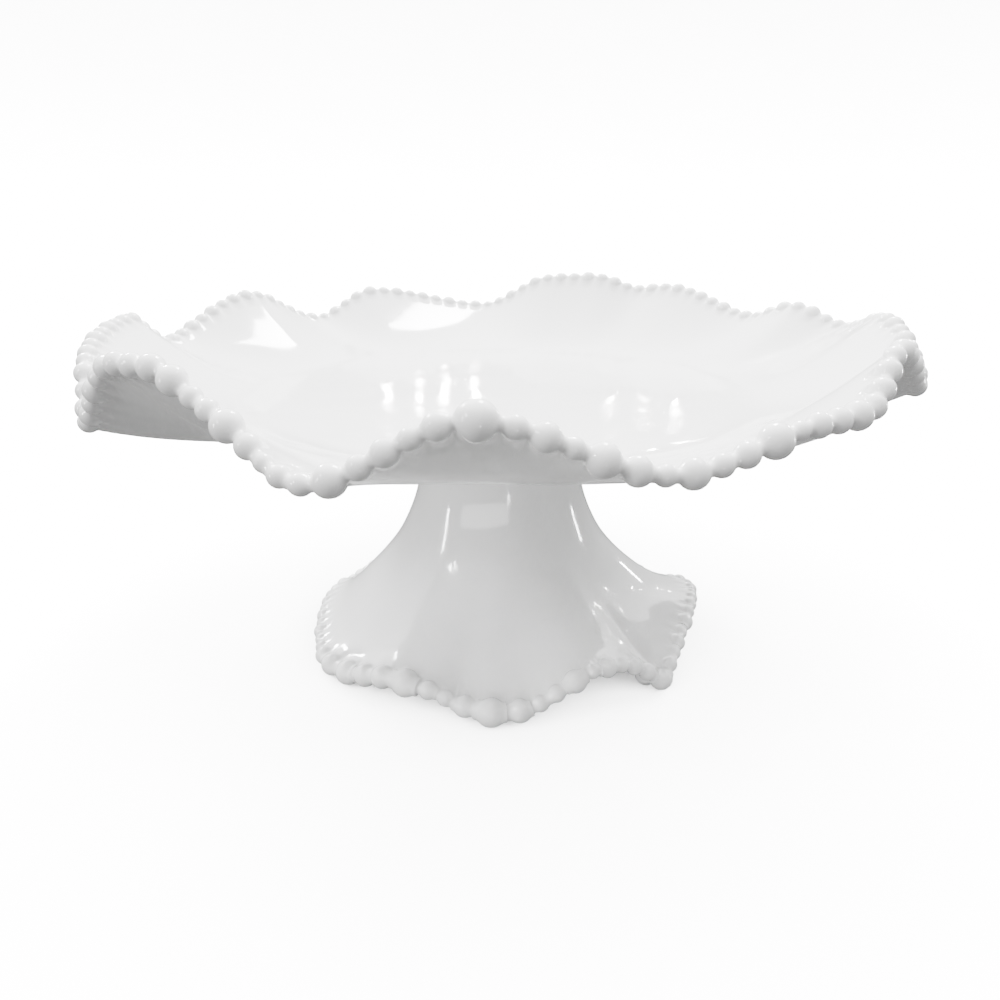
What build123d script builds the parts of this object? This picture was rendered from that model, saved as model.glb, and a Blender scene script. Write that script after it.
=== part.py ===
from build123d import *
import math
import os
from bisect import bisect_left

os.makedirs("parts", exist_ok=True)

# ---------------------------------------------------------------- dimensions (mm)
# Frame: origin on the table under the middle of the stand, +Z up, -Y the front.

# Plate
FLOOR_TOP = 101.0        # cake surface
FLOOR_UNDER = 95.5       # underside of the flat floor
FLOOR_R = 96.0           # flat part of the floor
FLOOR_UNDER_R = 94.0
BEND_R = 99.0            # where the wall starts to climb
EDGE_T = 3.8             # wall thickness at the rim
RIM_MEAN = 123.0         # mean height of the rim line

# Rim line, anticlockwise from +X: angle (deg), radius, height, how late the flute begins
RIM = [
    (0.0, 153.5, 129.5, 1.5),
    (14.5, 158.0, 120.5, 1.5),
    (23.5, 151.0, 127.0, 1.5),
    (33.5, 147.5, 119.5, 1.5),
    (53.0, 151.5, 129.5, 1.5),
    (60.0, 152.0, 127.5, 1.5),
    (69.0, 151.5, 133.0, 1.5),
    (79.0, 151.5, 132.0, 1.5),
    (93.5, 152.0, 116.5, 1.5),
    (117.5, 154.0, 126.0, 1.5),
    (129.0, 155.0, 113.5, 1.5),
    (146.0, 150.0, 129.5, 1.5),
    (168.0, 149.5, 115.5, 1.5),
    (177.5, 151.0, 128.5, 1.4),
    (200.0, 151.0, 122.0, 1.3),
    (209.0, 152.0, 107.5, 1.25),
    (226.0, 151.0, 133.0, 1.6),
    (232.5, 149.0, 133.6, 1.4),
    (237.5, 148.5, 128.0, 1.6),
    (243.5, 150.5, 121.8, 1.8),
    (252.0, 155.0, 111.5, 2.5),
    (267.5, 153.0, 128.5, 1.6),
    (286.5, 153.0, 113.5, 2.4),
    (301.0, 153.5, 121.5, 1.6),
    (309.0, 154.0, 122.0, 1.5),
    (320.0, 149.5, 134.0, 1.5),
    (335.5, 151.5, 117.5, 1.5),
]
# Beads laid edge to edge from RIM_START: the front row one by one, then a pattern to the end
RIM_START = 219.9
RIM_FRONT = (3.6, 3.8, 3.8, 3.8, 4.2, 4.5, 3.3, 3.4, 4.8, 3.7, 2.6, 3.2, 3.2, 4.7, 3.5, 3.9, 3.1, 3.8,
             5.5, 3.3, 4.1, 3.0, 4.8, 4.2, 3.1, 4.4, 3.4, 3.8, 5.1, 2.8, 3.8, 3.9, 4.5, 3.9, 3.9, 3.9)
RIM_BEADS = (3.5, 4.0, 3.6, 4.1, 3.8, 3.5, 4.0, 3.6, 4.2, 3.7, 3.9)
BEAD_FILL = 0.91         # square of a bead's radius over half its pitch

# Pedestal
PED_TOP = 93.9           # top of the neck, under the seal
PED_WALL = 4.0
WEB_TOP = 88.0           # web across the neck
WEB_UNDER = 82.0
POCKET_R = 26.5
FOOT_MEAN = 8.0          # mean height of the foot line
FOOT_MEAN_R = 83.5
FOOT_EDGE_T = 3.6

# Middle of the pedestal's wall from the neck down: height, radius, share of the foot's wave
CONE = [
    (92.5, 31.8, 0.0),
    (84.0, 31.3, 0.0),
    (74.0, 31.2, 0.0),
    (65.0, 32.1, 0.0),
    (56.0, 34.3, 0.0),
    (47.0, 37.9, 0.01),
    (38.0, 42.8, 0.04),
    (29.0, 50.2, 0.12),
    (21.0, 58.8, 0.27),
    (15.0, 66.8, 0.49),
    (11.0, 74.2, 0.74),
]
# Foot line: angle (deg), radius, height
FOOT = [
    (0.0, 83.5, 12.8),
    (8.0, 80.5, 10.5),
    (20.0, 76.0, 4.4),
    (38.0, 76.0, 4.3),
    (62.0, 78.0, 8.0),
    (90.0, 81.0, 4.3),
    (114.0, 78.5, 8.0),
    (138.0, 76.0, 4.3),
    (158.0, 72.5, 4.8),
    (172.0, 76.0, 5.6),
    (192.0, 77.5, 5.2),
    (208.0, 81.5, 4.6),
    (217.0, 84.0, 5.0),
    (225.0, 83.0, 5.5),
    (233.0, 82.5, 8.2),
    (242.0, 83.0, 11.3),
    (252.0, 83.0, 10.2),
    (261.3, 84.0, 6.3),
    (268.5, 86.5, 5.9),
    (275.0, 86.0, 6.2),
    (288.4, 84.5, 14.6),
    (293.5, 84.0, 16.8),
    (302.5, 83.0, 15.0),
    (309.0, 84.5, 10.6),
    (314.5, 87.5, 4.6),
    (320.0, 86.0, 8.4),
    (332.0, 82.5, 12.5),
    (344.0, 82.5, 15.5),
]
FOOT_START = 210.6
FOOT_FRONT = (3.9, 4.7, 5.2, 4.7, 4.7, 5.5, 3.7, 3.2, 4.3, 5.6, 4.6, 3.2, 3.4, 4.5, 2.8, 3.9, 3.0, 3.3,
              3.6, 4.5)
FOOT_BEADS = (3.2, 2.8, 3.4, 3.0, 3.6, 2.9, 3.1)
# Pads: angle (deg), distance from the axis
PADS = ((29.0, 69.0), (90.0, 74.0), (146.0, 67.5), (198.0, 71.0), (220.0, 77.0), (269.5, 79.0), (314.5, 80.0))
PAD_R = 3.0
PAD_T = 1.4
SEAT_RISE = 5.0

# Clamp hardware
BOSS_R = 10.0
BOSS_UNDER = 88.4
INSERT_R = 4.3
INSERT_TOP = 97.0
SCREW_R = 3.0
SCREW_TOP = 95.4
WASHER_T = 1.6
LOCK_T = 1.5
HEAD_R = 5.6
HEAD_H = 3.9
THREAD_PITCH = 1.0
KNURLS = 24

BEAD_STATIONS = 6        # stations along each bead
LIP_STATIONS = 9         # stations round a bead's section


# ---------------------------------------------------------------- helpers
def wave(table, column):
    """Smooth closed curve through the crests and troughs of a table."""
    xs = [row[0] for row in table]
    ys = [row[column] for row in table]
    n = len(xs)
    gaps = [(xs[(i + 1) % n] - xs[i]) % 360.0 for i in range(n)]
    rises = [(ys[(i + 1) % n] - ys[i]) / gaps[i] for i in range(n)]
    slopes = []
    for i in range(n):
        before, after = rises[i - 1], rises[i]
        if before * after <= 0:
            slopes.append(0.0)
        else:
            a, b = 2 * gaps[i] + gaps[i - 1], gaps[i] + 2 * gaps[i - 1]
            slopes.append((a + b) / (a / before + b / after))

    def at(angle):
        k = min(range(n), key=lambda i: (angle - xs[i]) % 360.0)
        h = gaps[k]
        t = ((angle - xs[k]) % 360.0) / h
        p, q = ys[k], ys[(k + 1) % n]
        m, s = slopes[k] * h, slopes[(k + 1) % n] * h
        return (
            (2 * t**3 - 3 * t**2 + 1) * p
            + (t**3 - 2 * t**2 + t) * m
            + (3 * t**2 - 2 * t**3) * q
            + (t**3 - t**2) * s
        )

    return at


def polar(angle, radius, height):
    a = math.radians(angle)
    return (radius * math.cos(a), radius * math.sin(a), height)


def bead_row(radius_at, height_at, start, front, pattern):
    """Beads laid edge to edge along a closed line.

    Gives one (angle, half pitch, share of the way to the next valley) per station.
    """
    fine = [start + i * 0.1 for i in range(3601)]
    path = [polar(a, radius_at(a), height_at(a)) for a in fine]
    length = [0.0]
    for p, q in zip(path, path[1:]):
        length.append(length[-1] + math.dist(p, q))
    left = length[-1] - 2.0 * sum(front)
    rest = []
    while 2.0 * sum(rest) < left - pattern[0]:
        rest.append(pattern[len(rest) % len(pattern)])
    scale = left / (2.0 * sum(rest))
    sizes = list(front) + [r * scale for r in rest]
    stations = []
    here = 0.0
    for r in sizes:
        for k in range(BEAD_STATIONS):
            s = k / BEAD_STATIONS
            where = here + 2.0 * r * s
            low = max(bisect_left(length, where), 1)
            t = (where - length[low - 1]) / (length[low] - length[low - 1])
            stations.append((fine[low - 1] + 0.1 * t, r, abs(2.0 * s - 1.0)))
        here += 2.0 * r
    return stations, len(sizes)


def girth(half_pitch, off, edge):
    """Section radius of a beaded edge; off is 0 at a bead's middle, 1 at a valley."""
    bead = half_pitch * math.sqrt(max(0.0, BEAD_FILL - (0.97 * off) ** 2))
    return max(bead, 0.58 * half_pitch, 0.56 * edge)


def loft_rings(rings, stations):
    """Solid through closed smooth wires; each ring gives (radius, height) per station."""
    start = stations[0][0]
    knots = [(s[0] - start) / 360.0 for s in stations] + [1.0]
    wires = []
    for line in rings:
        points = [polar(s[0], *line(*s)) for s in stations]
        wires.append(Wire([Edge.make_spline(points, periodic=True, parameters=knots)]))
    return Solid.make_loft(wires)


rim_r, rim_z, flute = wave(RIM, 1), wave(RIM, 2), wave(RIM, 3)
foot_r, foot_z = wave(FOOT, 1), wave(FOOT, 2)


# ---------------------------------------------------------------- plate
FLOOR_MID = (FLOOR_TOP + FLOOR_UNDER) / 2
FLOOR_HALF = (FLOOR_TOP - FLOOR_UNDER) / 2


def wall_mid(angle, share):
    """Middle of the wall; share 0 at the bend, 1 at the rim."""
    r = BEND_R + (rim_r(angle) - BEND_R) * share
    climb = (RIM_MEAN - FLOOR_MID) * (0.35 * share + 0.65 * share**1.8)
    swell = (rim_z(angle) - RIM_MEAN) * share ** flute(angle)
    return (r, FLOOR_MID + climb + swell)


def wall_side(share, side):
    """Line along one face of the wall: side +1 inside the dish, -1 underneath."""

    def line(angle, half_pitch, off):
        a, b = wall_mid(angle, share - 0.02), wall_mid(angle, share + 0.02)
        run, rise = b[0] - a[0], b[1] - a[1]
        size = math.hypot(run, rise)
        half = FLOOR_HALF + (EDGE_T / 2 - FLOOR_HALF) * share
        r, z = wall_mid(angle, share)
        return (r - side * half * rise / size, z + side * half * run / size)

    return line


def rim_lip(turn):
    """Line round the beads; turn +1 where they meet the dish, -1 underneath."""

    def line(angle, half_pitch, off):
        a, b = wall_mid(angle, 0.98), wall_mid(angle, 1.0)
        tilt = math.atan2(b[1] - a[1], b[0] - a[0])
        g = girth(half_pitch, off, EDGE_T)
        reach = math.pi - math.asin(EDGE_T / 2 / g)
        phi = tilt + turn * reach
        return (rim_r(angle) + g * math.cos(phi), rim_z(angle) + g * math.sin(phi))

    return line


def level(radius, height):
    return lambda angle, half_pitch, off: (radius, height)


def plate_rings():
    shares = (0.04, 0.14, 0.28, 0.44, 0.6, 0.74, 0.83, 0.88)
    under = [level(FLOOR_UNDER_R, FLOOR_UNDER), level(FLOOR_UNDER_R + 2.5, FLOOR_UNDER + 0.03)]
    under += [wall_side(share, -1) for share in shares]
    lip = [rim_lip(-1 + 2 * k / (LIP_STATIONS - 1)) for k in range(LIP_STATIONS)]
    top = [wall_side(share, 1) for share in reversed(shares)]
    top += [level(FLOOR_R - 1.5, FLOOR_TOP + 0.03), level(FLOOR_R - 4.0, FLOOR_TOP)]
    return under + lip + top


rim_stations, rim_count = bead_row(rim_r, rim_z, RIM_START, RIM_FRONT, RIM_BEADS)
print("rim beads", rim_count, flush=True)

with BuildPart() as plate:
    add(loft_rings(plate_rings(), rim_stations))
    print("plate loft", round(plate.part.volume), plate.part.is_valid, flush=True)
    # locating ring and insert boss under the floor, tied by four ribs
    with BuildSketch(Plane.XY.offset(FLOOR_UNDER - 3.4)):
        Circle(POCKET_R - 0.5)
        Circle(POCKET_R - 3.3, mode=Mode.SUBTRACT)
    extrude(amount=3.9)
    with BuildSketch(Plane.XY.offset(BOSS_UNDER)):
        Circle(BOSS_R)
    extrude(amount=FLOOR_UNDER - BOSS_UNDER + 0.5)
    with BuildSketch(Plane.XY.offset(FLOOR_UNDER - 3.4)):
        with PolarLocations(16.5, 4):
            Rectangle(15.0, 2.4)
    extrude(amount=3.9)
    with BuildSketch(Plane.XY.offset(BOSS_UNDER)):
        Circle(INSERT_R)
    extrude(amount=INSERT_TOP + 0.6 - BOSS_UNDER, mode=Mode.SUBTRACT)
plate.part.label = "plate"
print("plate", round(plate.part.volume), plate.part.is_valid, len(plate.part.solids()), flush=True)
export_step(plate.part, "parts/plate.step")


# ---------------------------------------------------------------- pedestal
def shell_mid(angle, s):
    """Middle of the pedestal's wall; s counts rows of CONE, the last step ends on the foot line."""
    dr, dz = foot_r(angle) - FOOT_MEAN_R, foot_z(angle) - FOOT_MEAN
    rows = [(r + dr * w, z + dz * w) for z, r, w in CONE]
    rows.append((foot_r(angle), foot_z(angle)))
    k = min(max(int(s), 0), len(rows) - 2)
    t = s - k
    p1, p2 = rows[k], rows[k + 1]
    p0 = rows[k - 1] if k > 0 else (2 * p1[0] - p2[0], 2 * p1[1] - p2[1])
    p3 = rows[k + 2] if k + 2 < len(rows) else (2 * p2[0] - p1[0], 2 * p2[1] - p1[1])
    return tuple(
        0.5 * (2 * b + (c - a) * t + (2 * a - 5 * b + 4 * c - d) * t**2 + (3 * b - a - 3 * c + d) * t**3)
        for a, b, c, d in zip(p0, p1, p2, p3)
    )


def shell_side(s, side):
    """Line along one face of the pedestal: side +1 outside, -1 inside."""

    def line(angle, half_pitch, off):
        a, b = shell_mid(angle, s - 0.03), shell_mid(angle, s + 0.03)
        run, rise = b[0] - a[0], b[1] - a[1]
        size = math.hypot(run, rise)
        half = (PED_WALL + (FOOT_EDGE_T - PED_WALL) * s / len(CONE)) / 2
        r, z = shell_mid(angle, s)
        return (r - side * half * rise / size, z + side * half * run / size)

    return line


def foot_lip(turn):
    """Line round the foot's beads; turn -1 where they meet the inside, +1 the outside."""

    def line(angle, half_pitch, off):
        end = float(len(CONE))
        a, b = shell_mid(angle, end - 0.2), shell_mid(angle, end)
        tilt = math.atan2(b[1] - a[1], b[0] - a[0])
        g = girth(half_pitch, off, FOOT_EDGE_T)
        reach = math.pi - math.asin(FOOT_EDGE_T / 2 / g)
        phi = tilt + turn * reach
        return (foot_r(angle) + g * math.cos(phi), foot_z(angle) + g * math.sin(phi))

    return line


def pedestal_rings():
    spots = (2.2, 3.2, 4.2, 5.2, 6.2, 7.2, 8.1, 9.0, 9.8, 10.3)
    inside = [level(23.5, WEB_UNDER), level(26.4, WEB_UNDER - 0.5), level(28.2, WEB_UNDER - 2.4)]
    inside += [shell_side(s, -1) for s in spots]
    lip = [foot_lip(-1 + 2 * k / (LIP_STATIONS - 1)) for k in range(LIP_STATIONS)]
    outside = [shell_side(s, 1) for s in reversed(spots)]
    outside += [shell_side(1.1, 1), shell_side(0.1, 1), level(33.7, PED_TOP - 0.5)]
    outside += [level(33.1, PED_TOP)]
    return inside + lip + outside


foot_stations, foot_count = bead_row(foot_r, foot_z, FOOT_START, FOOT_FRONT, FOOT_BEADS)
print("foot beads", foot_count, flush=True)

with BuildPart() as pedestal:
    add(loft_rings(pedestal_rings(), foot_stations))
    print("pedestal loft", round(pedestal.part.volume), pedestal.part.is_valid, flush=True)
    # pocket in the neck for the plate's locating ring
    with BuildSketch(Plane.XY.offset(WEB_TOP)):
        Circle(POCKET_R)
    extrude(amount=PED_TOP - WEB_TOP + 1.0, mode=Mode.SUBTRACT)
    # screw hole through the web
    with BuildSketch(Plane.XY.offset(WEB_UNDER - 1.0)):
        Circle(SCREW_R + 0.35)
    extrude(amount=WEB_TOP - WEB_UNDER + 2.0, mode=Mode.SUBTRACT)
    # seats for the pads
    for angle, reach in PADS:
        with BuildSketch(Plane.XY.offset(PAD_T)):
            with Locations(polar(angle, reach, 0)[:2]):
                Circle(PAD_R + 1.0)
        extrude(amount=SEAT_RISE)
pedestal.part.label = "pedestal"
print("pedestal", round(pedestal.part.volume), pedestal.part.is_valid, len(pedestal.part.solids()), flush=True)
export_step(pedestal.part, "parts/pedestal.step")

# ---------------------------------------------------------------- seal and clamp hardware
with BuildPart() as seal_ring:
    with BuildSketch(Plane.XY.offset(PED_TOP)):
        Circle(32.6)
        Circle(POCKET_R + 0.6, mode=Mode.SUBTRACT)
    extrude(amount=FLOOR_UNDER - PED_TOP)
seal_ring.part.label = "seal_ring"
export_step(seal_ring.part, "parts/seal_ring.step")

with BuildPart() as threaded_insert:
    with BuildSketch(Plane.XY.offset(BOSS_UNDER)):
        Circle(INSERT_R)
        Circle(SCREW_R + 0.04, mode=Mode.SUBTRACT)
    extrude(amount=INSERT_TOP - BOSS_UNDER)
    # knurling and the groove that locks it in the moulding
    with BuildSketch(Plane.XY.offset(BOSS_UNDER + 1.0)):
        with PolarLocations(INSERT_R + 0.1, KNURLS):
            Rectangle(0.9, 0.5, rotation=45)
    extrude(amount=INSERT_TOP - BOSS_UNDER - 1.6, mode=Mode.SUBTRACT)
    with BuildSketch(Plane.XY.offset(BOSS_UNDER + 3.6)):
        Circle(INSERT_R + 0.5)
        Circle(INSERT_R - 0.5, mode=Mode.SUBTRACT)
    extrude(amount=1.2, mode=Mode.SUBTRACT)
threaded_insert.part.label = "threaded_insert"
export_step(threaded_insert.part, "parts/threaded_insert.step")

WASHER_UNDER = WEB_UNDER - WASHER_T
LOCK_UNDER = WASHER_UNDER - LOCK_T
HEAD_UNDER = LOCK_UNDER - HEAD_H

with BuildPart() as flat_washer:
    with BuildSketch(Plane.XY.offset(WASHER_UNDER)):
        Circle(9.0)
        Circle(SCREW_R + 0.2, mode=Mode.SUBTRACT)
    extrude(amount=WASHER_T)
    chamfer(flat_washer.edges().filter_by(GeomType.CIRCLE).sort_by(SortBy.RADIUS)[-2:], 0.25)
flat_washer.part.label = "flat_washer"
export_step(flat_washer.part, "parts/flat_washer.step")

with BuildPart() as lock_washer:
    with BuildSketch(Plane.XY.offset(LOCK_UNDER)):
        Circle(5.9)
        Circle(SCREW_R + 0.1, mode=Mode.SUBTRACT)
    extrude(amount=LOCK_T)
    # slanted split
    with BuildSketch(Plane.XZ.offset(-7.0)):
        with Locations((0, LOCK_UNDER + LOCK_T / 2)):
            Rectangle(0.5, LOCK_T * 2.4, rotation=25)
    extrude(amount=6.0, mode=Mode.SUBTRACT)
lock_washer.part.label = "lock_washer"
export_step(lock_washer.part, "parts/lock_washer.step")

with BuildPart() as clamp_screw:
    # shank with thread, turned about the axis
    turns = int((SCREW_TOP - 1.0 - (LOCK_UNDER + 3.0)) / THREAD_PITCH)
    outline = [(0, HEAD_UNDER + HEAD_H), (SCREW_R, HEAD_UNDER + HEAD_H)]
    start = SCREW_TOP - 0.8 - turns * THREAD_PITCH
    outline.append((SCREW_R, start))
    for i in range(turns):
        z = start + i * THREAD_PITCH
        outline.append((SCREW_R - 0.45, z + THREAD_PITCH * 0.45))
        outline.append((SCREW_R, z + THREAD_PITCH * 0.9))
        outline.append((SCREW_R, z + THREAD_PITCH))
    outline += [(SCREW_R - 0.6, SCREW_TOP), (0, SCREW_TOP)]
    with BuildSketch(Plane.XZ):
        with BuildLine():
            Polyline(*outline, close=True)
        make_face()
    revolve(axis=Axis.Z)
    # pan head
    with BuildSketch(Plane.XY.offset(HEAD_UNDER)):
        Circle(HEAD_R)
    extrude(amount=HEAD_H)
    fillet(clamp_screw.edges().filter_by(GeomType.CIRCLE).group_by(Axis.Z)[0], 1.6)
    # cross recess
    with BuildSketch(Plane.XY.offset(HEAD_UNDER)):
        Rectangle(5.6, 1.3)
        Rectangle(1.3, 5.6)
    extrude(amount=2.2, mode=Mode.SUBTRACT)
clamp_screw.part.label = "clamp_screw"
export_step(clamp_screw.part, "parts/clamp_screw.step")

# ---------------------------------------------------------------- pads under the lobes
for number, (angle, reach) in enumerate(PADS, start=1):
    with BuildPart() as foot_pad:
        with BuildSketch(Plane.XY):
            with Locations(polar(angle, reach, 0)[:2]):
                Circle(PAD_R)
        extrude(amount=PAD_T)
        fillet(foot_pad.edges().group_by(Axis.Z)[0], 0.4)
    foot_pad.part.label = f"foot_pad_{number}"
    export_step(foot_pad.part, f"parts/foot_pad_{number}.step")
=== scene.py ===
import math

import bmesh
import bpy
import numpy as np
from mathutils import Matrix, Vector


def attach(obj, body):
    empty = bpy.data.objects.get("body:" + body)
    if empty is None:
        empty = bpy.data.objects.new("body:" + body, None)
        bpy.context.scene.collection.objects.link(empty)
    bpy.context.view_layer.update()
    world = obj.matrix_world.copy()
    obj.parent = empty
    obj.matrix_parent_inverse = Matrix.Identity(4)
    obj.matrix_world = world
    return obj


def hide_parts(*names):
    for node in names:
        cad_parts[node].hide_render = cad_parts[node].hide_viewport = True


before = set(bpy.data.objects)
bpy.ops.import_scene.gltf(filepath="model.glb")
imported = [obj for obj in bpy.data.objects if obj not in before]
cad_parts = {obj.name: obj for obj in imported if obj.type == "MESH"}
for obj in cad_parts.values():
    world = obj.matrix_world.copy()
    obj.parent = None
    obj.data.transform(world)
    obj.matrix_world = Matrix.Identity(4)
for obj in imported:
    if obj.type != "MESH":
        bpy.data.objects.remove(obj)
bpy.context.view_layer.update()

MM = 0.001

# ---------------------------------------------------------------- lines of the two mouldings (mm)
# angle anticlockwise from +X, radius, height, how late the flute begins
RIM = [
    (0.0, 153.5, 129.5, 1.5), (14.5, 158.0, 120.5, 1.5), (23.5, 151.0, 127.0, 1.5),
    (33.5, 147.5, 119.5, 1.5), (53.0, 151.5, 129.5, 1.5), (60.0, 152.0, 127.5, 1.5),
    (69.0, 151.5, 133.0, 1.5), (79.0, 151.5, 132.0, 1.5), (93.5, 152.0, 116.5, 1.5),
    (117.5, 154.0, 126.0, 1.5), (129.0, 155.0, 113.5, 1.5), (146.0, 150.0, 129.5, 1.5),
    (168.0, 149.5, 115.5, 1.5), (177.5, 151.0, 128.5, 1.4), (200.0, 151.0, 122.0, 1.3),
    (209.0, 152.0, 107.5, 1.25), (226.0, 151.0, 133.0, 1.6), (232.5, 149.0, 133.6, 1.4),
    (237.5, 148.5, 128.0, 1.6), (243.5, 150.5, 121.8, 1.8), (252.0, 155.0, 111.5, 2.5),
    (267.5, 153.0, 128.5, 1.6), (286.5, 153.0, 113.5, 2.4), (301.0, 153.5, 121.5, 1.6),
    (309.0, 154.0, 122.0, 1.5), (320.0, 149.5, 134.0, 1.5), (335.5, 151.5, 117.5, 1.5),
]
RIM_START = 219.9
RIM_FRONT = (3.6, 3.8, 3.8, 3.8, 4.2, 4.5, 3.3, 3.4, 4.8, 3.7, 2.6, 3.2, 3.2, 4.7, 3.5, 3.9, 3.1, 3.8,
             5.5, 3.3, 4.1, 3.0, 4.8, 4.2, 3.1, 4.4, 3.4, 3.8, 5.1, 2.8, 3.8, 3.9, 4.5, 3.9, 3.9, 3.9)
RIM_BEADS = (3.5, 4.0, 3.6, 4.1, 3.8, 3.5, 4.0, 3.6, 4.2, 3.7, 3.9)
# angle, radius, height
FOOT = [
    (0.0, 83.5, 12.8), (8.0, 80.5, 10.5), (20.0, 76.0, 4.4),
    (38.0, 76.0, 4.3), (62.0, 78.0, 8.0), (90.0, 81.0, 4.3),
    (114.0, 78.5, 8.0), (138.0, 76.0, 4.3), (158.0, 72.5, 4.8),
    (172.0, 76.0, 5.6), (192.0, 77.5, 5.2), (208.0, 81.5, 4.6),
    (217.0, 84.0, 5.0), (225.0, 83.0, 5.5), (233.0, 82.5, 8.2),
    (242.0, 83.0, 11.3), (252.0, 83.0, 10.2), (261.3, 84.0, 6.3),
    (268.5, 86.5, 5.9), (275.0, 86.0, 6.2), (288.4, 84.5, 14.6),
    (293.5, 84.0, 16.8), (302.5, 83.0, 15.0), (309.0, 84.5, 10.6),
    (314.5, 87.5, 4.6), (320.0, 86.0, 8.4), (332.0, 82.5, 12.5),
    (344.0, 82.5, 15.5),
]
FOOT_START = 210.6
FOOT_FRONT = (3.9, 4.7, 5.2, 4.7, 4.7, 5.5, 3.7, 3.2, 4.3, 5.6, 4.6, 3.2, 3.4, 4.5, 2.8, 3.9, 3.0, 3.3,
              3.6, 4.5)
FOOT_BEADS = (3.2, 2.8, 3.4, 3.0, 3.6, 2.9, 3.1)
BEAD_FILL = 0.9
# middle of the pedestal's wall from the neck down: height, radius, share of the foot's wave
CONE = [
    (92.5, 31.8, 0.0), (84.0, 31.3, 0.0), (74.0, 31.2, 0.0),
    (65.0, 32.1, 0.0), (56.0, 34.3, 0.0), (47.0, 37.9, 0.01),
    (38.0, 42.8, 0.04), (29.0, 50.2, 0.12), (21.0, 58.8, 0.27),
    (15.0, 66.8, 0.49), (11.0, 74.2, 0.74),
]
FLOOR_TOP, FLOOR_UNDER, RIM_MEAN, BEND_R = 101.0, 95.5, 123.0, 99.0
EDGE_T, PED_T, FOOT_EDGE_T = 3.8, 4.0, 3.6
FOOT_MEAN, FOOT_MEAN_R = 8.0, 83.5
PED_TOP, WEB_TOP, WEB_UNDER, POCKET_R = 93.9, 88.0, 82.0, 26.5
BOSS_R, BOSS_UNDER, INSERT_R, INSERT_END = 10.0, 88.4, 4.3, 97.6
SCREW_HOLE_R = 3.35
PADS = ((29.0, 69.0), (90.0, 74.0), (146.0, 67.5), (198.0, 71.0), (220.0, 77.0), (269.5, 79.0), (314.5, 80.0))
PAD_SEAT_R, PAD_T, SEAT_TOP = 4.0, 1.4, 6.4
PER_BEAD = 14
LIP = 26
RIM_VALLEY, FOOT_VALLEY = 0.0, 0.64     # the edge between two beads, as a share of the bead's radius


def wave(table, column, angles):
    xs = np.array([row[0] for row in table])
    ys = np.array([row[column] for row in table])
    gaps = (np.roll(xs, -1) - xs) % 360.0
    rises = (np.roll(ys, -1) - ys) / gaps
    before, after = np.roll(rises, 1), rises
    gap0 = np.roll(gaps, 1)
    a, b = 2 * gaps + gap0, gaps + 2 * gap0
    same = before * after > 0
    slopes = np.zeros(len(xs))
    slopes[same] = (a + b)[same] / (a[same] / before[same] + b[same] / after[same])
    angles = np.asarray(angles, float)
    k = np.argmin((angles[..., None] - xs) % 360.0, axis=-1)
    n = (k + 1) % len(xs)
    h = gaps[k]
    t = ((angles - xs[k]) % 360.0) / h
    return ((2 * t**3 - 3 * t**2 + 1) * ys[k] + (t**3 - 2 * t**2 + t) * slopes[k] * h
            + (3 * t**2 - 2 * t**3) * ys[n] + (t**3 - t**2) * slopes[n] * h)


def polar(angles, radius, height):
    a = np.radians(angles)
    radius = np.broadcast_to(radius, a.shape)
    height = np.broadcast_to(height, a.shape)
    return np.stack([radius * np.cos(a), radius * np.sin(a), height], axis=-1)


def bead_stations(table, start, front, pattern, valley):
    """Station angles along a beaded line with the edge's section radius at each."""
    fine = np.linspace(start, start + 360, 3601)
    path = polar(fine, wave(table, 1, fine), wave(table, 2, fine))
    length = np.concatenate([[0], np.cumsum(np.linalg.norm(np.diff(path, axis=0), axis=1))])
    left = length[-1] - 2.0 * sum(front)
    rest = []
    while 2.0 * sum(rest) < left - pattern[0]:
        rest.append(pattern[len(rest) % len(pattern)])
    scale = left / (2.0 * sum(rest))
    sizes = list(front) + [r * scale for r in rest]
    across = np.sin(np.pi / 2 * (2 * np.arange(PER_BEAD) / PER_BEAD - 1))
    angles, sections, here = [], [], 0.0
    for r in sizes:
        angles.append(np.interp(here + r * (1 + across), length, fine))
        sections.append(r * np.sqrt(np.maximum(valley**2, BEAD_FILL - across**2)))
        here += 2.0 * r
    return np.concatenate(angles), np.concatenate(sections)


def unit(v):
    return v / np.linalg.norm(v, axis=-1, keepdims=True)


def around(points):
    """Direction along a closed row of points."""
    return unit(np.roll(points, -1, axis=0) - np.roll(points, 1, axis=0))


def beaded_lip(centre, out, section, half):
    """Rings round a beaded edge, from the under side to the upper side."""
    along = around(centre)
    out = unit(out - (out * along).sum(-1, keepdims=True) * along)
    up = np.cross(out, along)
    g = (section**8 + (half * 1.04) ** 8) ** 0.125
    reach = np.pi - np.arcsin(np.minimum(half / g, 0.999))
    rings = []
    for turn in np.linspace(-1, 1, LIP):
        phi = (turn * reach)[:, None]
        rings.append(centre + g[:, None] * (np.cos(phi) * out + np.sin(phi) * up))
    return rings


def soften(grid, first, last, rounds, amount):
    """Rounds the creases of a grid of rings a little, between two rings."""
    for _ in range(rounds):
        new = grid.copy()
        for i in range(first, last):
            sides = np.roll(grid[i], 1, axis=0) + np.roll(grid[i], -1, axis=0)
            mean = (grid[i - 1] + grid[i + 1] + sides) / 4
            new[i] = grid[i] + amount * (mean - grid[i])
        grid = new
    return grid


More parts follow.
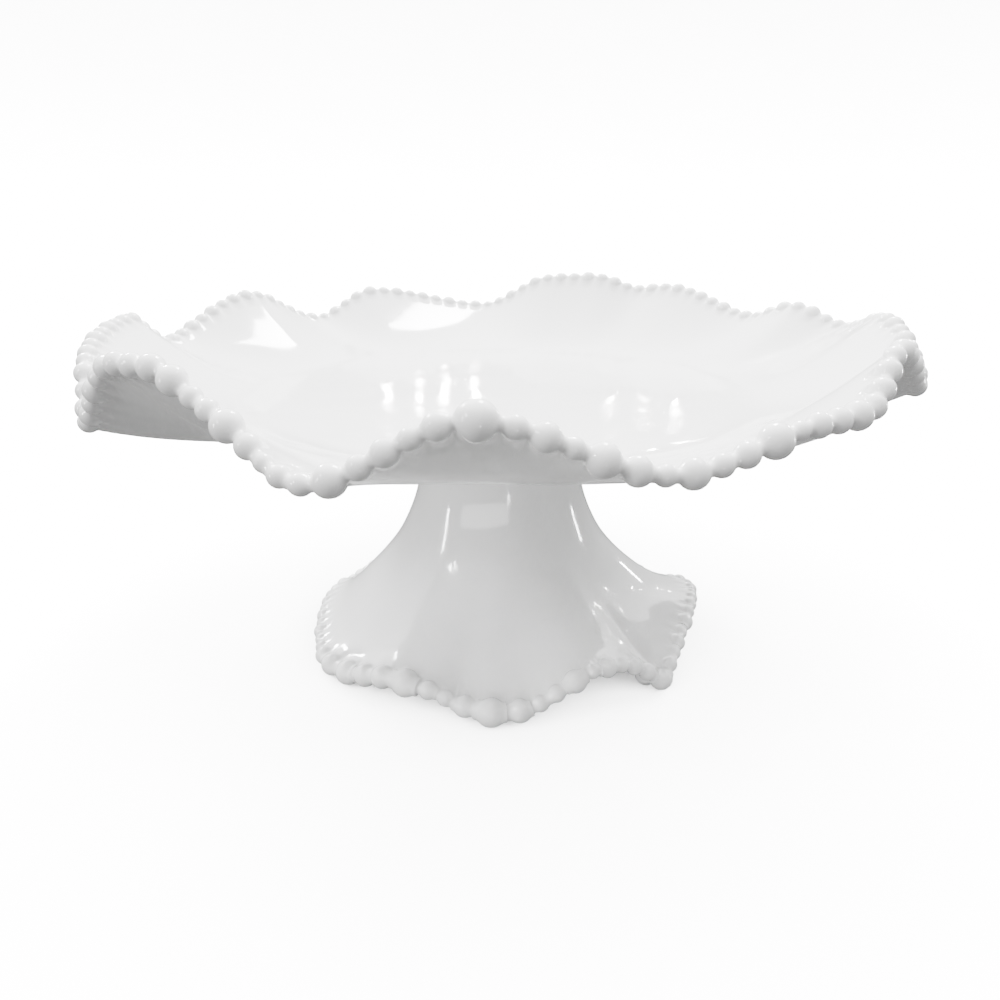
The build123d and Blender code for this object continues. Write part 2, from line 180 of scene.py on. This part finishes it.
def ring_mesh(name, rings, closed_loop, extra=()):
    """One mesh from rings of equal count: capped at both ends, or closed into a loop."""
    count = len(rings[0])
    verts = np.concatenate(rings)
    faces = []
    spans = len(rings) if closed_loop else len(rings) - 1
    for i in range(spans):
        a, b = i * count, ((i + 1) % len(rings)) * count
        for j in range(count):
            k = (j + 1) % count
            faces.append((a + j, b + j, b + k, a + k))
    if not closed_loop:
        faces.append(tuple(range(count)))
        faces.append(tuple(reversed(range((len(rings) - 1) * count, len(rings) * count))))
    for more_verts, more_faces in extra:
        base = len(verts)
        verts = np.concatenate([verts, more_verts])
        faces += [tuple(base + v for v in f) for f in more_faces]
    mesh = bpy.data.meshes.new(name)
    mesh.from_pydata((verts * MM).tolist(), [], faces)
    mesh.validate()
    mesh.update()
    bm = bmesh.new()
    bm.from_mesh(mesh)
    bmesh.ops.recalc_face_normals(bm, faces=bm.faces)
    bm.to_mesh(mesh)
    bm.free()
    for p in mesh.polygons:
        p.use_smooth = True
    mesh.set_sharp_from_angle(angle=math.radians(50))
    piece = bpy.data.objects.new(name, mesh)
    bpy.context.scene.collection.objects.link(piece)
    return piece


def post(angle, radius, r, low, high, n=32):
    """A short closed post with rounded lower edge."""
    centre = polar(np.array(angle), radius, 0.0)
    turn = np.linspace(0, 360, n, endpoint=False)
    profile = ((r - 0.5, low), (r - 0.1, low + 0.15), (r, low + 0.5), (r, high))
    rows = [polar(turn, rr, zz) + centre for rr, zz in profile]
    faces = []
    for i in range(len(rows) - 1):
        for j in range(n):
            k = (j + 1) % n
            faces.append((i * n + j, i * n + k, (i + 1) * n + k, (i + 1) * n + j))
    faces.append(tuple(reversed(range(n))))
    faces.append(tuple(range((len(rows) - 1) * n, len(rows) * n)))
    return np.concatenate(rows), faces


# ---------------------------------------------------------------- plate
FLOOR_MID, FLOOR_HALF = (FLOOR_TOP + FLOOR_UNDER) / 2, (FLOOR_TOP - FLOOR_UNDER) / 2


def wall_mid(angles, share):
    r_rim, z_rim = wave(RIM, 1, angles), wave(RIM, 2, angles)
    climb = (RIM_MEAN - FLOOR_MID) * (0.35 * share + 0.65 * share**1.8)
    swell = (z_rim - RIM_MEAN) * share ** wave(RIM, 3, angles)
    return polar(angles, BEND_R + (r_rim - BEND_R) * share, FLOOR_MID + climb + swell)


def wall_pair(angles, share):
    """Upper and lower face of the wall at one share of its way out."""
    mid = wall_mid(angles, share)
    out = wall_mid(angles, share + 0.01) - wall_mid(angles, share - 0.01)
    normal = unit(np.cross(out, around(mid)))
    half = FLOOR_HALF + (EDGE_T / 2 - FLOOR_HALF) * share
    return mid + half * normal, mid - half * normal


def make_plate():
    angles, section = bead_stations(RIM, RIM_START, RIM_FRONT, RIM_BEADS, RIM_VALLEY)
    flat = [
        (INSERT_R, INSERT_END), (INSERT_R, BOSS_UNDER), (BOSS_R - 0.4, BOSS_UNDER),
        (BOSS_R, BOSS_UNDER + 0.4), (BOSS_R, FLOOR_UNDER), (POCKET_R - 3.3, FLOOR_UNDER),
        (POCKET_R - 3.3, FLOOR_UNDER - 3.4), (POCKET_R - 0.5, FLOOR_UNDER - 3.4),
        (POCKET_R - 0.5, FLOOR_UNDER), (36.0, FLOOR_UNDER), (60.0, FLOOR_UNDER),
        (88.0, FLOOR_UNDER), (94.0, FLOOR_UNDER), (96.5, FLOOR_UNDER + 0.03),
    ]
    rings = [polar(angles, r, z) for r, z in flat]
    shares = np.concatenate([np.linspace(0.04, 0.3, 8), np.linspace(0.34, 0.88, 16)])
    pairs = [wall_pair(angles, s) for s in shares]
    rings += [p[1] for p in pairs]
    centre = wall_mid(angles, 1.0)
    out = centre - wall_mid(angles, 0.98)
    first = len(rings)
    rings += beaded_lip(centre, out, section, EDGE_T / 2)
    last = len(rings)
    rings += [p[0] for p in reversed(pairs)]
    well = ((94.5, FLOOR_TOP + 0.03), (92.0, FLOOR_TOP), (70.0, FLOOR_TOP))
    rings += [polar(angles, r, z) for r, z in well]
    grid = soften(np.array(rings), first - 1, last + 1, 2, 0.22)
    return ring_mesh("plate_moulding", list(grid), closed_loop=False)


# ---------------------------------------------------------------- pedestal
def shell_mid(angles, s):
    r_foot, z_foot = wave(FOOT, 1, angles), wave(FOOT, 2, angles)
    rows = [np.stack([r + (r_foot - FOOT_MEAN_R) * w, z + (z_foot - FOOT_MEAN) * w]) for z, r, w in CONE]
    rows.append(np.stack([r_foot, z_foot]))
    k = int(min(max(math.floor(s), 0), len(rows) - 2))
    t = s - k
    b, c = rows[k], rows[k + 1]
    a = rows[k - 1] if k else 2 * b - c
    d = rows[k + 2] if k + 2 < len(rows) else 2 * c - b
    r, z = 0.5 * (2 * b + (c - a) * t + (2 * a - 5 * b + 4 * c - d) * t**2 + (3 * b - a - 3 * c + d) * t**3)
    return polar(angles, r, z)


def shell_pair(angles, s):
    mid = shell_mid(angles, s)
    out = shell_mid(angles, s + 0.02) - shell_mid(angles, s - 0.02)
    normal = unit(np.cross(out, around(mid)))
    half = (PED_T + (FOOT_EDGE_T - PED_T) * s / len(CONE)) / 2
    return mid + half * normal, mid - half * normal


def make_pedestal():
    angles, section = bead_stations(FOOT, FOOT_START, FOOT_FRONT, FOOT_BEADS, FOOT_VALLEY)
    web = ((SCREW_HOLE_R, WEB_UNDER), (12.0, WEB_UNDER), (23.0, WEB_UNDER),
           (25.4, WEB_UNDER - 0.3), (27.2, WEB_UNDER - 1.2), (28.3, WEB_UNDER - 3.0))
    rings = [polar(angles, r, z) for r, z in web]
    spots = np.concatenate([np.arange(2.0, 9.0, 0.35), np.arange(9.0, 10.35, 0.15)])
    pairs = [shell_pair(angles, s) for s in spots]
    rings += [p[1] for p in pairs]
    centre = shell_mid(angles, float(len(CONE)))
    out = centre - shell_mid(angles, len(CONE) - 0.15)
    first = len(rings)
    rings += beaded_lip(centre, out, section, FOOT_EDGE_T / 2)
    last = len(rings)
    rings += [p[0] for p in reversed(pairs)]
    rings += [shell_pair(angles, s)[0] for s in (1.6, 1.2, 0.8, 0.4, 0.1)]
    top = ((33.7, PED_TOP - 0.6), (33.6, PED_TOP - 0.25), (33.1, PED_TOP),
           (POCKET_R, PED_TOP), (POCKET_R, WEB_TOP), (SCREW_HOLE_R, WEB_TOP))
    rings += [polar(angles, r, z) for r, z in top]
    grid = soften(np.array(rings), first - 1, last + 1, 2, 0.2)
    seats = [post(a, r, PAD_SEAT_R, PAD_T, SEAT_TOP) for a, r in PADS]
    return ring_mesh("pedestal_moulding", list(grid), closed_loop=True, extra=seats)


# ---------------------------------------------------------------- materials
def material(name):
    mat = bpy.data.materials.new(name)
    mat.use_nodes = True
    tree = mat.node_tree
    return mat, tree, tree.nodes["Principled BSDF"]


def noise(tree, scale, detail=2.0, rough=0.5):
    where = tree.nodes.new("ShaderNodeTexCoord")
    n = tree.nodes.new("ShaderNodeTexNoise")
    n.inputs["Scale"].default_value = scale
    n.inputs["Detail"].default_value = detail
    n.inputs["Roughness"].default_value = rough
    tree.links.new(where.outputs["Object"], n.inputs["Vector"])
    return n


def grey(level):
    return (level, level, level, 1)


def ramp(tree, source, low, high):
    r = tree.nodes.new("ShaderNodeValToRGB")
    r.color_ramp.elements[0].position = 0.3
    r.color_ramp.elements[1].position = 0.7
    r.color_ramp.elements[0].color = low
    r.color_ramp.elements[1].color = high
    tree.links.new(source, r.inputs["Fac"])
    return r.outputs["Color"]


def bump(tree, source, strength, distance, after=None):
    b = tree.nodes.new("ShaderNodeBump")
    b.inputs["Strength"].default_value = strength
    b.inputs["Distance"].default_value = distance
    tree.links.new(source, b.inputs["Height"])
    if after is not None:
        tree.links.new(after, b.inputs["Normal"])
    return b.outputs["Normal"]


def white_glaze():
    mat, tree, shader = material("white_gloss")
    tint = noise(tree, 14.0, 3.0)
    colour = ramp(tree, tint.outputs["Fac"], grey(0.79), (0.82, 0.82, 0.815, 1))
    tree.links.new(colour, shader.inputs["Base Color"])
    dull = noise(tree, 55.0, 4.0, 0.6)
    tree.links.new(ramp(tree, dull.outputs["Fac"], grey(0.06), grey(0.13)), shader.inputs["Roughness"])
    shader.inputs["IOR"].default_value = 1.52
    shader.inputs["Coat Weight"].default_value = 0.35
    shader.inputs["Coat Roughness"].default_value = 0.04
    slow = noise(tree, 26.0, 2.0)
    peel = noise(tree, 420.0, 2.0)
    n = bump(tree, slow.outputs["Fac"], 0.35, 0.0016)
    tree.links.new(bump(tree, peel.outputs["Fac"], 0.25, 0.00004, n), shader.inputs["Normal"])
    return mat


def metal(name, low, high, rough, stretch):
    mat, tree, shader = material(name)
    where = tree.nodes.new("ShaderNodeTexCoord")
    squeeze = tree.nodes.new("ShaderNodeMapping")
    squeeze.inputs["Scale"].default_value = stretch
    grain = tree.nodes.new("ShaderNodeTexNoise")
    grain.inputs["Scale"].default_value = 900.0
    tree.links.new(where.outputs["Object"], squeeze.inputs["Vector"])
    tree.links.new(squeeze.outputs["Vector"], grain.inputs["Vector"])
    tree.links.new(ramp(tree, grain.outputs["Fac"], low, high), shader.inputs["Base Color"])
    dull = ramp(tree, grain.outputs["Fac"], grey(rough), grey(rough + 0.15))
    tree.links.new(dull, shader.inputs["Roughness"])
    shader.inputs["Metallic"].default_value = 1.0
    tree.links.new(bump(tree, grain.outputs["Fac"], 0.3, 0.00002), shader.inputs["Normal"])
    return mat


def silicone(name, low, high, rough, clear):
    mat, tree, shader = material(name)
    cloud = noise(tree, 300.0, 3.0)
    tree.links.new(ramp(tree, cloud.outputs["Fac"], low, high), shader.inputs["Base Color"])
    shader.inputs["Roughness"].default_value = rough
    shader.inputs["IOR"].default_value = 1.41
    shader.inputs["Transmission Weight"].default_value = clear
    tree.links.new(bump(tree, cloud.outputs["Fac"], 0.2, 0.00005), shader.inputs["Normal"])
    return mat


glaze = white_glaze()
steel = metal("stainless", (0.55, 0.55, 0.56, 1), (0.68, 0.68, 0.69, 1), 0.25, (1, 1, 0.15))
brass = metal("brass", (0.66, 0.48, 0.2, 1), (0.8, 0.6, 0.28, 1), 0.28, (1, 1, 0.3))
seal = silicone("silicone_white", (0.78, 0.78, 0.76, 1), (0.84, 0.84, 0.82, 1), 0.55, 0.0)
clear = silicone("silicone_clear", (0.8, 0.82, 0.82, 1), (0.88, 0.89, 0.89, 1), 0.3, 0.6)

for piece, node in ((make_plate(), "plate"), (make_pedestal(), "pedestal")):
    piece.data.materials.append(glaze)
    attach(piece, "root")
    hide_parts(node)

looks = {
    "seal_ring": seal, "threaded_insert": brass, "clamp_screw": steel,
    "flat_washer": steel, "lock_washer": steel,
}
looks.update({f"foot_pad_{i + 1}": clear for i in range(len(PADS))})
for node, mat in looks.items():
    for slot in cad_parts[node].material_slots:
        slot.link = "OBJECT"
        slot.material = mat

# ---------------------------------------------------------------- studio
def sky(tilt, steps):
    """Soft surround, dim in front and below, brightest overhead and behind; steps are (place, grey)."""
    world = bpy.data.worlds.new("studio")
    bpy.context.scene.world = world
    world.use_nodes = True
    tree = world.node_tree
    where = tree.nodes.new("ShaderNodeTexCoord")
    along = tree.nodes.new("ShaderNodeVectorMath")
    along.operation = "DOT_PRODUCT"
    along.inputs[1].default_value = (0.0, math.sin(math.radians(tilt)), math.cos(math.radians(tilt)))
    height = tree.nodes.new("ShaderNodeMapRange")
    height.inputs["From Min"].default_value = -1.0
    height.inputs["From Max"].default_value = 1.0
    r = tree.nodes.new("ShaderNodeValToRGB")
    stops = r.color_ramp.elements
    stops[0].position, stops[1].position = steps[0][0], steps[-1][0]
    for place, _ in steps[1:-1]:
        stops.new(place)
    for stop, (_, level) in zip(stops, steps):
        stop.color = grey(level)
    tree.links.new(where.outputs["Generated"], along.inputs[0])
    tree.links.new(along.outputs["Value"], height.inputs["Value"])
    tree.links.new(height.outputs["Result"], r.inputs["Fac"])
    tree.links.new(r.outputs["Color"], tree.nodes["Background"].inputs["Color"])
    tree.nodes["Background"].inputs["Strength"].default_value = SKY


SKY = 10.0                                        # strength of the surround
FLOOR_FLAT, CURVE, ROUND = 3.6, 2.6, 96           # flat radius, radius of the bend, points round it
BEND_STEPS, BEND_TURN = 12, 75
BACKDROP_OUT, BACKDROP_TOP = 0.8, 5.0
PAPER_SUNS, PAPER_POWER, PAPER_SOFT, PAPER_TILT = 4, 22.0, 50, 56
BULB, BULB_AWAY, BULB_POWER = (0.014, 0.014), 2.2, 0.45


def make_sweep():
    """Round floor that curves up all the way round into a backdrop; it doesn't light the object."""
    line = [(0.3, 0.0), (1.5, 0.0), (FLOOR_FLAT, 0.0)]
    for k in range(1, BEND_STEPS + 1):
        turn = math.radians(BEND_TURN * k / BEND_STEPS)
        line.append((FLOOR_FLAT + CURVE * math.sin(turn), CURVE * (1 - math.cos(turn))))
    line.append((line[-1][0] + BACKDROP_OUT, BACKDROP_TOP))
    turns = [2 * math.pi * k / ROUND for k in range(ROUND)]
    verts = [(r * math.cos(t), r * math.sin(t), z) for r, z in line for t in turns]
    faces = [tuple(range(ROUND))]
    for i in range(len(line) - 1):
        for j in range(ROUND):
            k = (j + 1) % ROUND
            faces.append((i * ROUND + j, (i + 1) * ROUND + j, (i + 1) * ROUND + k, i * ROUND + k))
    mesh = bpy.data.meshes.new("floor")
    mesh.from_pydata(verts, [], faces)
    for p in mesh.polygons:
        p.use_smooth = True
    sweep = bpy.data.objects.new("floor", mesh)
    bpy.context.scene.collection.objects.link(sweep)
    mat, tree, shader = material("floor_paper")
    grain = noise(tree, 3.0)
    tree.links.new(ramp(tree, grain.outputs["Fac"], grey(0.9), grey(0.92)), shader.inputs["Base Color"])
    shader.inputs["Roughness"].default_value = 0.9
    shader.inputs["Specular IOR Level"].default_value = 0.1
    mesh.materials.append(mat)
    sweep.visible_diffuse = False
    sweep.visible_glossy = False
    sweep.visible_shadow = False
    return sweep


def softbox(name, azimuth, height, away, size, power):
    """Rectangular lamp aimed at the plate; azimuth 0 is the camera's side, 90 the right."""
    light = bpy.data.lights.new(name, "AREA")
    light.shape = "RECTANGLE"
    light.size, light.size_y = size
    light.energy = power
    lamp = bpy.data.objects.new(name, light)
    bpy.context.scene.collection.objects.link(lamp)
    a, e = math.radians(azimuth), math.radians(height)
    aim = Vector((0, 0, 0.08))
    place = aim + away * Vector((math.sin(a) * math.cos(e), -math.cos(a) * math.cos(e), math.sin(e)))
    lamp.location = place
    lamp.rotation_euler = (aim - place).to_track_quat("-Z", "Y").to_euler()
    lamp.visible_camera = False
    return lamp


def only(piece):
    """Collection that holds one object, for a lamp that reaches nothing else."""
    group = bpy.data.collections.new(f"only_{piece.name}")
    group.objects.link(piece)
    return group


def paper_lights(sweep):
    """Soft suns that reach the paper only."""
    paper = only(sweep)
    for k in range(PAPER_SUNS):
        light = bpy.data.lights.new(f"paper_light_{k}", "SUN")
        light.energy = PAPER_POWER
        light.angle = math.radians(PAPER_SOFT)
        lamp = bpy.data.objects.new(f"paper_light_{k}", light)
        bpy.context.scene.collection.objects.link(lamp)
        lamp.rotation_euler = (math.radians(PAPER_TILT), 0, math.radians(45 + 360 / PAPER_SUNS * k))
        lamp.light_linking.receiver_collection = paper


sky(24, ((0.38, 0.036), (0.56, 0.055), (0.75, 0.2), (0.97, 1.0)))
paper_lights(make_sweep())
softbox("window_left", -70, 10, 1.6, (0.05, 0.5), 12)
softbox("window_left_high", -58, 34, 1.6, (0.04, 0.22), 6)
softbox("window_left_far", -52, 31, 1.6, (0.02, 0.22), 3)
softbox("strip_front", 11, -4, 0.5, (0.008, 0.05), 0.12)
softbox("strip_right", 105, 1, 0.8, (0.03, 0.14), 1.6)
softbox("strip_right_far", 142, 8, 1.6, (0.03, 0.25), 4)
softbox("window_back_left", -140, 34, 2.0, (0.35, 0.25), 40)
softbox("window_back", 165, 50, 2.0, (0.35, 0.5), 50)
for k in range(6):
    softbox(f"side_bulb_{k}", 112, 28 + 7 * k, 1.6, (0.018, 0.018), 0.6)
bulbs = (
    (150, 15), (153, 15.6), (157, 15), (128, 24), (132, 26), (-150, 14), (-146, 14.5),
    (166, 13.4), (168.4, 12.9), (171, 13.2), (-171, 13.1), (-173.5, 13.5), (-175.5, 13), (-178, 13.3),
)
for k, (azimuth, height) in enumerate(bulbs):
    softbox(f"bulb_{k}", azimuth, height, BULB_AWAY, BULB, BULB_POWER)
pedestal_fill = softbox("pedestal_fill", -20, 7, 2.0, (2.4, 0.5), 25)
pedestal_fill.light_linking.receiver_collection = only(bpy.data.objects["pedestal_moulding"])

# ---------------------------------------------------------------- camera
CAMERA_AT, CAMERA_DOWN = (0.0, -0.3344, 0.1757), 20.03

camera = bpy.data.cameras.new("camera")
camera.sensor_width = 36.0
camera.lens = 29.87
view = bpy.data.objects.new("camera", camera)
bpy.context.scene.collection.objects.link(view)
view.location = CAMERA_AT
view.rotation_euler = (math.radians(90 - CAMERA_DOWN), 0, 0)
camera.clip_start = 0.01
bpy.context.scene.camera = view
